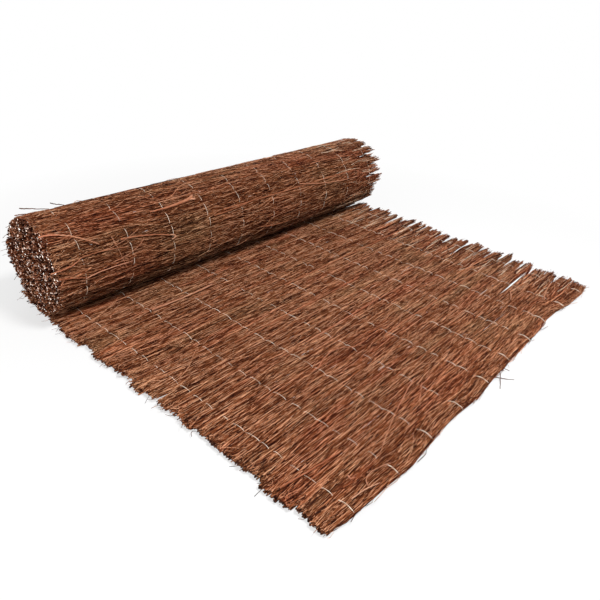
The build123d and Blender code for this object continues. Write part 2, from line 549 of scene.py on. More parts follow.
def settle(piece: bpy.types.Object, points: int, sides: int) -> bpy.types.Object:
    """Map a piece made of strands and let it ride on the object.

    Args:
        piece: the piece.
        points: rings of vertices in each strand.
        sides: vertices in each ring.

    Returns:
        The same piece.
    """
    lay_bake_map(piece.data, points, sides)
    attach(piece, BODY)
    return piece


class TubeMesh:
    """Collects bent round pieces that share one grid of rings and sides into one mesh."""

    # The least height of a ring's middle in radii, and the rise past which a line counts as upright
    CLEARANCE = 1.05
    STEEP = 0.9

    def __init__(self, rings: int, sides: int) -> None:
        """Start with no pieces.

        Args:
            rings: rings of vertices in each piece.
            sides: vertices in each ring.
        """
        self.rings = rings
        self.sides = sides
        self.vertices: list[Vector] = []
        self.faces: list[tuple[int, ...]] = []
        self.tints: list[float] = []

    def add(self, line: list[Vector], radii: list[float], tint: float) -> None:
        """Add one piece along a line of points, clear of the ground.

        Args:
            line: the middle of each ring.
            radii: the radius of each ring.
            tint: a number from 0 to 1 that the finish colours by.
        """
        base = len(self.vertices)
        line = [Vector((p.x, p.y, max(p.z, self.CLEARANCE * r))) for p, r in zip(line, radii)]
        for i, (middle, radius) in enumerate(zip(line, radii)):
            way = (line[min(i + 1, self.rings - 1)] - line[max(i - 1, 0)]).normalized()
            level = UP if abs(way.z) < self.STEEP else Vector((1.0, 0.0, 0.0))
            across = way.cross(level).normalized()
            over = across.cross(way)
            for j in range(self.sides):
                angle = 2 * math.pi * j / self.sides
                out = across * math.cos(angle) + over * math.sin(angle)
                self.vertices.append(middle + out * radius)
                self.tints.append(tint)
        for i in range(self.rings - 1):
            for j in range(self.sides):
                a, b = base + i * self.sides + j, base + i * self.sides + (j + 1) % self.sides
                self.faces.append((a, b, b + self.sides, a + self.sides))
        self.faces.append(tuple(base + j for j in reversed(range(self.sides))))
        self.faces.append(tuple(base + (self.rings - 1) * self.sides + j for j in range(self.sides)))

    def build(self, name: str, finish: bpy.types.Material, slot: str) -> bpy.types.Object:
        """Make the mesh and its piece.

        Args:
            name: the piece's name.
            finish: its material.
            slot: not used.

        Returns:
            The piece, riding on the object.
        """
        mesh = bpy.data.meshes.new(name)
        mesh.from_pydata([tuple(v) for v in self.vertices], [], self.faces)
        mesh.attributes.new("tint", "FLOAT", "POINT").data.foreach_set("value", self.tints)
        mesh.shade_smooth()
        mesh.materials.append(finish)
        shell = bmesh.new()
        shell.from_mesh(mesh)
        bmesh.ops.recalc_face_normals(shell, faces=shell.faces)
        shell.to_mesh(mesh)
        shell.free()
        piece = bpy.data.objects.new(name, mesh)
        bpy.context.scene.collection.objects.link(piece)
        return settle(piece, self.rings, self.sides)


def curve_through(places: list[Vector], count: int) -> list[Vector]:
    """Draw a smooth line through a few places.

    Args:
        places: the places, three or more.
        count: how many points to give back.

    Returns:
        Points along the line, from the first place to the last.
    """
    ends = [places[0] * 2 - places[1], *places, places[-1] * 2 - places[-2]]
    line = []
    for step in range(count):
        at = step / (count - 1) * (len(places) - 1)
        k = min(int(at), len(places) - 2)
        t = at - k
        a, b, c, d = ends[k:k + 4]
        line.append(
            b + (c - a) * (0.5 * t) + (a * 2 - b * 5 + c * 4 - d) * (0.5 * t * t)
            + (b * 3 - a - c * 3 + d) * (0.5 * t ** 3)
        )
    return line


@dataclass(frozen=True)
class Grain:
    """A noise in a finish: how fine it is, its factor along each axis, and its finer layers."""

    scale: float
    stretch: tuple[float, float, float]
    detail: float


class Shader(NodeMaker):
    """Builds one node material."""

    OWN_SHIFT = 9.0

    def __init__(self, name: str) -> None:
        """Start a material with a bare principled surface.

        Args:
            name: the material's name.
        """
        self.material = bpy.data.materials.new(name)
        self.material.use_nodes = True
        super().__init__(self.material.node_tree)
        self.tree.nodes.clear()
        self.surface = self.node("ShaderNodeBsdfPrincipled", {})
        self.output = self.node("ShaderNodeOutputMaterial", {"Surface": self.surface.outputs[0]})

    def dress(self, inputs: dict[str, object]) -> bpy.types.Material:
        """Set or link inputs of the surface, and give back the material."""
        for key, value in inputs.items():
            self.put(self.surface.inputs[key], value)
        return self.material

    def ramp(self, factor: object, stops: Stops) -> bpy.types.NodeSocket:
        """Colour by a number.

        Args:
            factor: the number, from 0 to 1.
            stops: places from 0 to 1, each with its colour.

        Returns:
            The colour.
        """
        made = self.node("ShaderNodeValToRGB", {0: factor})
        marks = made.color_ramp.elements
        while len(marks) < len(stops):
            marks.new(0.5)
        for mark, (place, code) in zip(marks, stops):
            mark.position = place
            mark.color = linear(code)
        return made.outputs[0]

    def mix(self, kind: str, factor: object, first: object, second: object) -> bpy.types.NodeSocket:
        """Mix two colours.

        Args:
            kind: how they mix.
            factor: share of the second.
            first: the first colour.
            second: the second colour.

        Returns:
            The mixed colour.
        """
        inputs = {0: factor, 6: first, 7: second}
        return self.node("ShaderNodeMix", inputs, data_type="RGBA", blend_type=kind).outputs[2]

    def noise(self, grain: Grain, own: Formula | None = None) -> bpy.types.NodeSocket:
        """Noise on the object's own coordinates.

        Args:
            grain: its form.
            own: a number that moves it, so that neighbours differ.

        Returns:
            The noise, from 0 to 1.
        """
        where = self.node("ShaderNodeTexCoord", {}).outputs["Object"]
        if own is not None:
            where = self.out("ShaderNodeVectorMath", {0: where, 1: own * self.OWN_SHIFT}, operation="ADD")
        mapped = self.out("ShaderNodeMapping", {"Vector": where, "Scale": grain.stretch})
        inputs = {"Vector": mapped, "Scale": grain.scale, "Detail": grain.detail}
        return self.out("ShaderNodeTexNoise", inputs)

    def bump(self, height: bpy.types.NodeSocket, strength: float, depth: float) -> bpy.types.NodeSocket:
        """Turn a height into a rough surface.

        Args:
            height: the height, from 0 to 1.
            strength: how strongly it shows.
            depth: how deep it is.

        Returns:
            The surface's direction.
        """
        return self.out("ShaderNodeBump", {"Strength": strength, "Distance": depth, "Height": height})


@dataclass(frozen=True)
class BarkFinish:
    """Dry heather bark: each stem its own brown, flecked along its length, with its own cut ends, painted
    dark as shade by default.
    """

    bark: Bark
    stops: Stops
    # By default the cut ends are dark: painted shade, for ends that sit sunk among the stems.
    cut_stops: Stops = ((0.0, "1E100A"), (0.6, "4A2E20"), (1.0, "8A6450"))
    cut_from: float = 0.88
    cut_spread: float = 7.3
    flecks: Grain = Grain(900.0, (0.045, 1.0, 1.0), 2.0)
    fleck_limits: Range = (0.3, 0.7)
    fleck_share: float = 1.25
    fleck_strength: float = 0.6
    fleck_depth: float = 0.0006
    patch: str = "705C40"
    patches: Grain = Grain(5.0, (0.9, 2.4, 1.0), 3.0)
    patch_limits: Range = (0.5, 0.72)
    patch_share: float = 0.26
    ruddy: str = "B05A34"
    streaks: Grain = Grain(7.0, (0.5, 4.5, 1.0), 2.0)
    ruddy_limits: Range = (0.5, 0.7)
    ruddy_share: float = 0.3
    roughness: float = 0.8
    shine: float = 0.1

    def make(self) -> bpy.types.Material:
        """Build the material."""
        shader = Shader(self.bark.value)
        named = shader.node("ShaderNodeAttribute", {}, attribute_name="tint", attribute_type="GEOMETRY")
        tint = Formula(shader, named.outputs["Fac"])
        flecks = shader.noise(self.flecks, tint)
        half = self.fleck_share / 2
        shade = shader.remap(flecks, self.fleck_limits, (-half, half), clamp=False)
        colour = shader.ramp(tint + shade, self.stops)
        weathered = shader.remap(shader.noise(self.patches), self.patch_limits, (0.0, self.patch_share))
        colour = shader.mix("COLOR", weathered, colour, linear(self.patch))
        warmed = shader.remap(shader.noise(self.streaks), self.ruddy_limits, (0.0, self.ruddy_share))
        colour = shader.mix("OVERLAY", warmed, colour, linear(self.ruddy))
        # Faces that point along the stems are the cut ends; they take the cut colours, by default painted
        # shade.
        shape = shader.node("ShaderNodeNewGeometry", {})
        endwise = shader.out("ShaderNodeSeparateXYZ", {0: shape.outputs["True Normal"]})
        cut_face = shader.math("GREATER_THAN", shader.math("ABSOLUTE", endwise), self.cut_from)
        ends = shader.ramp(shader.math("FRACT", tint * self.cut_spread), self.cut_stops)
        return shader.dress({
            "Base Color": shader.mix("MIX", cut_face, colour, ends),
            "Roughness": self.roughness,
            "Specular IOR Level": self.shine,
            "Normal": shader.bump(flecks, self.fleck_strength, self.fleck_depth),
        })


@dataclass(frozen=True)
class WireFinish:
    """Galvanised binding wire, dulled in places, with bright patches painted in as highlights."""

    name: str = "galvanised_wire"
    # Cream, up to nearly white in patches: the whitest patches are painted highlights.
    colours: Stops = ((0.35, "CDAE92"), (0.62, "FFF0DE"))
    spots: Grain = Grain(90.0, (1.0, 1.0, 1.0), 3.0)
    spot_limits: Range = (0.3, 0.7)
    roughness: Range = (0.6, 0.38)
    metallic: float = 0.1
    pit_strength: float = 0.2
    pit_depth: float = 0.0003

    def make(self) -> bpy.types.Material:
        """Build the material."""
        shader = Shader(self.name)
        # One noise paints highlights into the colour, and makes the wire duller and rougher elsewhere.
        spots = shader.noise(self.spots)
        return shader.dress({
            "Base Color": shader.ramp(spots, self.colours),
            "Roughness": shader.remap(spots, self.spot_limits, self.roughness),
            "Metallic": self.metallic,
            "Normal": shader.bump(spots, self.pit_strength, self.pit_depth),
        })


@dataclass(frozen=True)
class Parting:
    """A place where the stems part and leave a slit."""

    along: float
    across_from: float
    across_to: float
    width: float
    reach: float = 0.012


@dataclass(frozen=True)
class Trim:
    """How a layer's stems end at the two cut edges."""

    near: float = -0.5
    far: float = 0.5
    near_rag: float = 0.004
    far_rag: float = 0.008
    near_tuft: float = 0.004
    far_tuft: float = 0.008


@dataclass
class StemLayer:
    """One layer of heather stems, all grown in one mesh."""

    name: str
    count: int
    seed: int
    along: Range
    height: Range
    across: Range = (-0.58, 0.58)
    length: Range = (0.18, 0.46)
    radius: Range = (0.0005, 0.0012)
    tint: Range = (0.0, 1.0)
    lean: float = 0.045
    bow: float = 0.006
    wave: float = 0.0035
    curl: float = 14.0
    lift: float = 0.0007
    pinch: float = 0.45
    tip: float = 0.45
    reach: float = 0.0
    points: int = 8
    sides: int = 3
    bark: Bark = Bark.BROWN
    trim: Trim = Trim()

    def build(self, tree: "StemTree", finish: bpy.types.Material) -> bpy.types.Object:
        """Grow the layer.

        Args:
            tree: the tree that grows stems.
            finish: the stems' material.

        Returns:
            The layer as one plain mesh, riding on the object.
        """
        piece = tree.maker.run(self.name, finish, self, self.trim)
        return settle(piece, self.points, self.sides)


@dataclass
class StemTree:
    """The Geometry Nodes tree that grows a layer of stems on the mat.

    A zone is the stretch of across, or of minus across at the near edge, in which a change comes in.
    Even steps are shares whose multiples, less their whole parts, fill a range evenly.
    """

    path: MatPath
    partings: tuple[Parting, ...]
    maker: TreeMaker = field(default_factory=lambda: TreeMaker("heather_stems", StemLayer, Trim))
    even_steps: dict[Draw, float] = field(default_factory=lambda: {
        Draw.MIDDLE: 0.569840291,
        Draw.SEAT: 0.754877666,
        Draw.HEIGHT: 0.414213562,
        Draw.TINT: 0.618033989,
    })
    even_start: float = 0.377
    loosening: float = 0.004
    strand_shift: float = 7.31
    seed_shift: float = 13.7
    least_length: float = 0.012
    corner_setback: float = 0.012
    bundle_end: float = 0.8
    tuft_end: float = 0.6
    tip_zone: Range = (0.43, 0.51)
    tip_gather: Range = (0.2, 0.75)
    tip_shade: float = 0.15
    far_zone: Range = (0.34, 0.50)
    far_gather: Range = (0.1, 0.6)
    near_zone: Range = (0.45, 0.50)
    near_gather: Range = (-0.1, 0.30)
    drift: float = 0.004
    sway_detail: float = 2.0
    parted_share: float = 0.97
    slit_grain: float = 18.0
    slit_shift: float = 50.0
    slit_wander: float = 0.003
    slit_opening: Range = (-0.06, 0.03)
    slit_closing: Range = (-0.02, 0.05)
    free_grain: float = 17.0
    free_shift: float = 5.0
    free_wander: float = 0.0015
    free_rag: Range = (-0.003, 0.004)
    lift_grain: float = 12.0
    lift_shift: float = 4.4
    thickest_place: Range = (0.0, 0.3)
    taper_power: float = 1.5
    tint_limits: Range = (0.1, 0.95)

    def __post_init__(self) -> None:
        """Build the tree."""
        maker, given, path = self.maker, self.maker.given, self.path
        strands = maker.strands(given.count)
        self.own = maker.strand * self.strand_shift + given.seed * self.seed_shift
        self.seat = self.spread(Draw.SEAT, given.along_from, given.along_to)
        self.bundle = maker.math("FLOOR", self.seat / path.bundle_pitch)
        self.tuft = maker.math("FLOOR", self.seat / path.tuft_pitch)
        self.outermost = maker.math("LESS_THAN", self.bundle, 0.5)
        self.middle = self.spread(Draw.MIDDLE, given.across_from, given.across_to)
        self.across = self.between_ends()
        self.at_tip = maker.ease(self.across, *self.tip_zone)
        along = self.at_free_end(self.parted(self.gathered(self.bent())))
        radius = self.tapered()
        shown = maker.ease(self.spread(Draw.TINT, 0.0, 1.0), *self.tint_limits)
        tint = (given.tint_to - given.tint_from) * shown * (1.0 - self.at_tip * self.tip_shade)
        place = maker.lay(path, self.across, along, self.pinched(along), radius)
        maker.finish(strands, place, radius, given.tint_from + tint)

    def spread(self, draw: Draw, low: Number, high: Number) -> Formula:
        """Places between two limits, spread evenly over the strands and then loosened a little."""
        steps = self.maker.strand * self.even_steps[draw] + self.maker.given.seed * self.even_start
        even = self.maker.math("FRACT", steps)
        return (even + self.maker.pick(draw, -self.loosening, self.loosening)) * (high - low) + low

    def of_bundle(self, draw: Draw, low: float, high: float) -> Formula:
        """A random number that all stems of a bundle share, in every layer."""
        return self.maker.random(low, high, self.bundle, draw.value)

    def of_tuft(self, draw: Draw, low: float, high: float) -> Formula:
        """A random number that all stems of a tuft share, in every layer."""
        return self.maker.random(low, high, self.tuft, draw.value)

    def between_ends(self) -> Formula:
        """Stretch the strands between their ends, cut off at the two edges.

        Returns:
            Across, at each point.
        """
        maker, given = self.maker, self.maker.given
        half = maker.pick(Draw.LENGTH, given.length_from, given.length_to) * 0.5
        near = given.near + given.near_rag * maker.pick(Draw.NEAR_END, -1.0, 1.0)
        near = near + given.near_tuft * self.of_bundle(Draw.BUNDLE_NEAR_END, -1.0, 1.0)
        far = given.far + given.far_rag * maker.pick(Draw.FAR_END, -1.0, 1.0)
        far = far - self.outermost * self.corner_setback
        ragged = self.of_bundle(Draw.BUNDLE_FAR_END, -self.bundle_end, self.bundle_end)
        ragged = ragged + self.of_tuft(Draw.TUFT_FAR_END, -self.tuft_end, self.tuft_end)
        far = far + given.far_tuft * ragged * (1.0 - self.outermost)
        first = maker.math("MAXIMUM", self.middle - half, near)
        first = maker.math("MINIMUM", first, far - self.least_length)
        last = maker.math("MINIMUM", self.middle + half, far)
        last = maker.math("MAXIMUM", last, first + self.least_length)
        return first + (last - first) * maker.share

    def bent(self) -> Formula:
        """Lean, bow and sway each stem about its seat.

        Returns:
            Along, from the middle of the stem's bundle.
        """
        maker, given = self.maker, self.maker.given
        arch = maker.share * (1.0 - maker.share) * 4.0
        sway = maker.noise(self.across * given.curl, self.own, detail=self.sway_detail)
        off = self.seat - self.bundle_centre()
        off = off + maker.pick(Draw.LEAN, -1.0, 1.0) * given.lean * (self.across - self.middle)
        return off + maker.pick(Draw.BOW, -1.0, 1.0) * given.bow * (arch - 0.5) + given.wave * sway

    def bundle_centre(self) -> Formula:
        """Along, at the middle of a stem's bundle."""
        return (self.bundle + 0.5) * self.path.bundle_pitch

    def gathered(self, off: Formula) -> Formula:
        """Draw the stems together near the cut edges, by bundles and by tufts.

        Args:
            off: along, from the middle of the stem's bundle.

        Returns:
            Along, at each point.
        """
        maker, centre = self.maker, self.bundle_centre()
        inside = 1.0 - self.outermost
        to_tuft = off + centre - (self.tuft + 0.5) * self.path.tuft_pitch
        off = off - to_tuft * (self.at_tip * inside) * self.of_tuft(Draw.TUFT_GATHER, *self.tip_gather)
        to_far = maker.ease(self.across, *self.far_zone)
        to_near = maker.ease(self.across * -1.0, *self.near_zone)
        gather = self.of_bundle(Draw.BUNDLE_FAR_GATHER, *self.far_gather) * to_far * inside
        gather = gather + self.of_bundle(Draw.BUNDLE_NEAR_GATHER, *self.near_gather) * to_near
        drift = self.of_bundle(Draw.BUNDLE_DRIFT, -self.drift, self.drift) * (to_far + to_near)
        return centre + drift + off * (1.0 - gather)

    def parted(self, along: Formula) -> Formula:
        """Push most stems away from each slit, to the side that they are seated on.

        Args:
            along: along, at each point.

        Returns:
            Along, with the slits open.
        """
        maker = self.maker
        moves = maker.math("LESS_THAN", maker.pick(Draw.PARTED, 0.0, 1.0), self.parted_share)
        for slit in self.partings:
            line = maker.noise(self.across * self.slit_grain, slit.along * self.slit_shift)
            away = along - (line * self.slit_wander + slit.along)
            near_it = maker.math("EXPONENT", away * away * (-1.0 / slit.reach ** 2))
            opened = maker.ease(self.across, *(slit.across_from + step for step in self.slit_opening))
            closed = maker.ease(self.across, *(slit.across_to + step for step in self.slit_closing))
            side = maker.math("SIGN", self.seat - slit.along)
            pushed = side * (maker.math("ABSOLUTE", away) + near_it * slit.width)
            along = along + (pushed - away) * opened * (1.0 - closed) * moves
        return along

    def at_free_end(self, along: Formula) -> Formula:
        """Fold back what goes past the free end, and bulge the end itself.

        Args:
            along: along, at each point.

        Returns:
            Along, with the free end in its form.
        """
        maker = self.maker
        free = maker.noise(self.across * self.free_grain, self.free_shift) * self.free_wander
        free = free + maker.pick(Draw.FREE_END, *self.free_rag)
        free = free - maker.given.reach * maker.pick(Draw.FREE_REACH, 0.0, 1.0) ** 2.0
        along = free + maker.math("ABSOLUTE", along - free)
        shift = 0.0
        for bulge in self.path.bulges:
            away = (self.across - bulge.across) / bulge.width
            shift = maker.math("EXPONENT", away * away * -1.0) * bulge.size + shift
        return along + shift * (1.0 - maker.ease(along, *self.path.bulge_depth))

    def pinched(self, along: Formula) -> Formula:
        """Height of each point: lower in the valleys between bundles, and a little uneven.

        Args:
            along: along, at each point.

        Returns:
            The height.
        """
        maker, given = self.maker, self.maker.given
        half_pitch = self.path.bundle_pitch / 2
        slope = half_pitch - self.path.valley_floor / 2
        flank = (half_pitch - maker.math("PINGPONG", along, half_pitch)) / slope
        valley = maker.math("MINIMUM", flank, 1.0)
        height = self.spread(Draw.HEIGHT, given.height_from, given.height_to)
        height = height * (1.0 - given.pinch * valley * valley)
        rough = maker.noise(self.across * self.lift_grain, self.own, self.lift_shift)
        return height + given.lift * rough

    def tapered(self) -> Formula:
        """Radius of each point: thickest near one end, and thinner to the tip."""
        maker, given = self.maker, self.maker.given
        pick = maker.pick(Draw.RADIUS, 0.0, 1.0)
        radius = given.radius_from + (given.radius_to - given.radius_from) * pick * pick
        away = maker.math("ABSOLUTE", maker.share - maker.pick(Draw.TAPER, *self.thickest_place))
        return radius * (1.0 - (1.0 - given.tip) * away ** self.taper_power)


@dataclass
class Stitches:
    """The wire stitches that show on one face of the mat."""

    name: str
    face: Face
    start: float
    count: int
    seed: int
    rise: float
    lines: int = WIRE_LINES
    first_line: float = FIRST_WIRE
    spacing: float = WIRE_SPACING
    pitch: float = 0.030
    length: Range = (0.015, 0.029)
    radius: float = 0.00044
    sink: float = 0.0030
    buried: float = 0.0024
    slant: float = 0.003
    wander: float = 0.003
    points: int = 7
    sides: int = 4

    def build(self, tree: "StitchTree", finish: bpy.types.Material) -> bpy.types.Object:
        """Sew the stitches.

        Args:
            tree: the tree that sews them.
            finish: the wire's material.

        Returns:
            The stitches as one plain mesh, riding on the object.
        """
        piece = tree.maker.run(self.name, finish, self)
        return settle(piece, self.points, self.sides)


@dataclass
class StitchTree:
    """The Geometry Nodes tree that sews a line of wire stitches at each binding."""

    path: MatPath
    maker: TreeMaker = field(default_factory=lambda: TreeMaker("wire_stitches", Stitches))
    place_share: float = 0.16
    drift_grain: float = 5.0
    line_shift: float = 3.3
    dip_power: float = 4.0
    buried_power: float = 1.5
    radius_share: Range = (0.85, 1.15)

    def __post_init__(self) -> None:
        """Build the tree."""
        maker, given = self.maker, self.maker.given
        strands = maker.strands(given.lines * given.count)
        line = maker.math("FLOOR", maker.strand / given.count)
        number = maker.strand - line * given.count
        run = maker.share - 0.5
        along = given.start + given.pitch * (number + 0.5)
        along = along + maker.pick(StitchDraw.PLACE, -self.place_share, self.place_share) * given.pitch
        along = along + run * maker.pick(StitchDraw.LENGTH, given.length_from, given.length_to)
        drift = maker.noise(along * self.drift_grain, line * self.line_shift + given.seed) * given.wander
        across = given.first_line + given.spacing * line + drift
        across = across + maker.pick(StitchDraw.SLANT, -1.0, 1.0) * given.slant * run
        dip = maker.math("ABSOLUTE", run * 2.0) ** self.dip_power
        deep = maker.pick(StitchDraw.BURIED, 0.0, 1.0) ** self.buried_power
        height = given.rise - given.sink * dip - given.buried * deep
        place = maker.lay(self.path, across, along, height * given.face, given.radius)
        radius = given.radius * maker.pick(StitchDraw.RADIUS, *self.radius_share)
        maker.finish(strands, place, radius, maker.pick(StitchDraw.TINT, 0.0, 1.0))


@dataclass
class HeatherMat:
    """The heather itself: every layer of stems, on the flat part and round the roll."""

    path: MatPath
    skin_length: float = 0.66
    core_length: float = 2.39
    edges: Trim = Trim(near_rag=0.005, far_rag=0.015, near_tuft=0.006, far_tuft=0.020)
    wound: Trim = Trim(near_rag=0.0035, far_rag=0.012, near_tuft=0.0015, far_tuft=0.012)
    inner: Trim = Trim(-0.495, 0.455, near_rag=0.004, far_rag=0.03, near_tuft=0.005, far_tuft=0.012)
    partings: tuple[Parting, ...] = (
        Parting(0.125, 0.30, 0.44, 0.0042, 0.016),
        Parting(0.124, 0.03, 0.055, 0.0012),
        Parting(0.265, 0.40, 0.60, 0.0030),
        Parting(0.308, 0.40, 0.60, 0.0034),
        Parting(0.359, 0.35, 0.60, 0.0024),
        Parting(0.461, 0.36, 0.60, 0.0027),
        Parting(0.518, 0.36, 0.60, 0.0030),
        Parting(0.583, 0.40, 0.60, 0.0030),
    )

    def __post_init__(self) -> None:
        """Work out the faces and the stretches, and the kinds of stem that several layers have."""
        self.top = self.path.thickness / 2
        self.under = -self.top
        self.end = self.path.unrolled
        self.skin = self.end + self.skin_length
        self.core = self.end + self.core_length
        self.thick = {"radius": (0.0014, 0.0023), "points": 6}
        self.filling = {**self.thick, "length": (0.30, 0.60), "trim": self.inner}
        self.sprigs = {"radius": (0.0004, 0.0009), "points": 5}
        self.twiglets = {"radius": (0.0003, 0.0007), "points": 4}
        self.hairs = {"radius": (0.0003, 0.0006), "tint": (0.0, 0.6)}
        # Pale twigs over the edges, in the bark with painted highlights.
        self.twigs = {"radius": (0.0005, 0.0009), "wave": 0.0016, "points": 4, "bark": Bark.WORN}
        self.loose = {
            "length": (0.05, 0.14), "radius": (0.0004, 0.0007), "tint": (0.5, 1.0), "bow": 0.02,
            "wave": 0.008, "points": 9,
        }

    def flat_layers(self) -> list[StemLayer]:
        """List the layers of the flat part, with its underside and its free end."""
        top, under, end = self.top, self.under, self.end
        return [
            # The filling deep in the mat is tinted darker than the layers above it: painted shade in the
            # gaps between the stems.
            StemLayer(
                "flat_core_stems", 1250, 11, (0.0, end + 0.03), (under + 0.002, 0.0028), tint=(0.1, 0.4),
                **self.filling,
            ),
            StemLayer(
                "flat_stems", 3600, 12, (0.0, end + 0.01), (top - 0.0042, top - 0.0006), tint=(0.3, 0.62),
                lean=0.025, bow=0.004, wave=0.0025, points=7, trim=self.edges,
            ),
            StemLayer(
                "flat_sprigs", 4000, 13, (0.0, end + 0.01), (top - 0.0022, top + 0.0006),
                length=(0.08, 0.26), lean=0.05, wave=0.0018, curl=18.0, lift=0.0010, reach=0.004,
                trim=self.edges, **self.sprigs,
            ),
            StemLayer(
                "flat_twiglets", 5600, 23, (0.0, end), (top - 0.0012, top + 0.0012), length=(0.03, 0.10),
                tint=(0.05, 1.0), lean=0.17, bow=0.004, wave=0.0014, curl=24.0, lift=0.0010, reach=0.010,
                trim=self.edges, **self.twiglets,
            ),
            StemLayer(
                "underside_stems", 900, 27, (0.0, end + 0.03), (under + 0.0006, under + 0.0030),
                tint=(0.1, 0.7), **self.filling,
            ),
            StemLayer(
                "free_end_stems", 420, 26, (0.0, 0.075), (under + 0.002, top - 0.001), length=(0.2, 0.5),
                tint=(0.15, 0.6), trim=self.edges, **self.thick,
            ),
            StemLayer(
                "free_end_twiglets", 700, 25, (0.0, 0.02), (under * 0.6, top), length=(0.02, 0.08),
                lean=0.45, wave=0.003, curl=30.0, lift=0.0010, reach=0.010, trim=self.edges, **self.twiglets,
            ),
        ]

    def roll_layers(self) -> list[StemLayer]:
        """List the layers of the roll: its outermost turn, and the cut ends of all its turns."""
        top, under, end, skin = self.top, self.under, self.end, self.skin
        return [
            # The filling deep in the roll is tinted darker than the layers above it: painted shade in the
            # gaps between the stems.
            StemLayer(
                "roll_core_stems", 1100, 22, (end - 0.02, skin + 0.05), (under + 0.003, top),
                tint=(0.1, 0.35), **self.filling,
            ),
            StemLayer(
                "roll_stems", 3200, 14, (end, skin), (under + 0.0006, under + 0.0042), tint=(0.25, 0.58),
                lean=0.03, bow=0.005, wave=0.003, pinch=0.3, points=7, trim=self.wound,
            ),
            StemLayer(
                "roll_sprigs", 3300, 15, (end, skin), (under - 0.0004, under + 0.0022), length=(0.08, 0.24),
                tint=(0.0, 0.9), lean=0.08, wave=0.0022, curl=20.0, lift=0.0012, pinch=0.3, trim=self.wound,
                **self.sprigs,
            ),
            StemLayer(
                "roll_twiglets", 4500, 24, (end + 0.05, skin), (under - 0.0010, under + 0.0012),
                length=(0.03, 0.09), tint=(0.05, 0.95), lean=0.26, bow=0.004, wave=0.0018, curl=28.0,
                lift=0.0012, pinch=0.3, trim=self.wound, **self.twiglets,
            ),
            StemLayer(
                "roll_near_ends", 3000, 16, (end, self.core), (under, top), (-0.52, -0.46), (0.05, 0.09),
                (0.0014, 0.0032), (0.0, 0.8), lean=0.14, tip=0.95, points=3, bark=Bark.CUT,
                trim=Trim(near_rag=0.005, near_tuft=0.0015),
            ),
            StemLayer(
                "roll_far_ends", 2700, 17, (end, self.core), (under, top), (0.44, 0.53), (0.07, 0.12),
                (0.0011, 0.0024), points=3, bark=Bark.CUT, trim=Trim(far_rag=0.012, far_tuft=0.014),
            ),
        ]

    def edge_layers(self) -> list[StemLayer]:
        """List the layers along the two cut edges: stems, sticks, hairs, and pale twigs whose colour is
        painted highlight.
        """
        top, under, end, skin = self.top, self.under, self.end, self.skin
        over_flat, over_roll = (top - 0.0002, top + 0.0014), (under - 0.0014, under + 0.0002)
        return [
            StemLayer(
                "far_edge_stems", 1300, 18, (0.0, end + 0.3), (under * 0.8, top), (0.40, 0.52),
                (0.10, 0.24), (0.0010, 0.0028), (0.0, 0.75), lean=0.08, tip=0.8, points=5, trim=self.edges,
            ),
            StemLayer(
                "near_edge_stems", 1400, 19, (0.0, end + 0.3), (under, top), (-0.52, -0.44), (0.06, 0.14),
                (0.0009, 0.0022), (0.1, 0.8), lean=0.06, tip=0.8, points=4, trim=self.edges,
            ),
            StemLayer(
                "far_edge_sticks", 110, 28, (0.01, end - 0.02), (0.0, top + 0.0006), (0.44, 0.50),
                (0.09, 0.15), (0.0018, 0.0034), (0.0, 0.5), lean=0.16, wave=0.0015, tip=0.9, points=4,
                trim=self.edges,
            ),
            StemLayer(
                "near_edge_sticks", 150, 29, (0.005, 0.26), (under + 0.002, top - 0.0008), (-0.52, -0.48),
                (0.05, 0.10), (0.0018, 0.0032), (0.0, 0.45), lean=0.08, wave=0.0015, tip=0.95, points=3,
                trim=Trim(near=-0.502, near_rag=0.004, near_tuft=0.006),
            ),
            StemLayer(
                "far_edge_hairs", 130, 30, (0.0, end), (0.0, top + 0.002), (0.47, 0.53), (0.03, 0.07),
                lean=0.7, bow=0.010, wave=0.004, points=5,
                trim=Trim(far=0.512, far_rag=0.015, far_tuft=0.010), **self.hairs,
            ),
            StemLayer(
                "near_edge_hairs", 90, 36, (0.0, end + 0.3), (under, top), (-0.53, -0.49), (0.02, 0.05),
                lean=0.8, bow=0.008, wave=0.003, points=4,
                trim=Trim(near=-0.508, near_rag=0.012, near_tuft=0.008), **self.hairs,
            ),
            StemLayer(
                "far_edge_twigs", 200, 33, (0.02, end), over_flat, (0.36, 0.50), (0.04, 0.10),
                tint=(0.5, 1.1), lean=0.12, trim=self.edges, **self.twigs,
            ),
            StemLayer(
                "roll_far_twigs", 130, 34, (end + 0.2, skin), over_roll, (0.34, 0.51), (0.04, 0.10),
                tint=(0.3, 1.0), lean=0.16, trim=self.wound, **self.twigs,
            ),
            StemLayer(
                "roll_near_twigs", 110, 35, (end + 0.25, skin), over_roll, (-0.51, -0.45), (0.03, 0.08),
                tint=(0.1, 0.6), lean=0.12, trim=self.wound, **self.twigs,
            ),
        ]

    def loose_layers(self) -> list[StemLayer]:
        """List the layers of thin stems that lie loose on top."""
        top, under, end = self.top, self.under, self.end
        on_flat, on_roll = (top, top + 0.0016), (under - 0.0016, under)
        return [
            StemLayer(
                "loose_stems", 240, 20, (0.01, end - 0.03), on_flat, lean=0.6, lift=0.0015, **self.loose
            ),
            StemLayer(
                "loose_roll_stems", 190, 21, (end + 0.2, self.skin - 0.05), on_roll, lean=0.5, lift=0.0035,
                **self.loose,
            ),
        ]

    def build(self, finishes: dict[Bark, bpy.types.Material]) -> list[bpy.types.Object]:
        """Grow every layer.

        Args:
            finishes: the material of each kind of bark.

        Returns:
            The layers.
        """
        tree = StemTree(self.path, self.partings)
        layers = self.flat_layers() + self.roll_layers() + self.edge_layers() + self.loose_layers()
        pieces = {layer.name: layer.build(tree, finishes[layer.bark]) for layer in layers}
        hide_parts("heather_mat")
        return list(pieces.values())


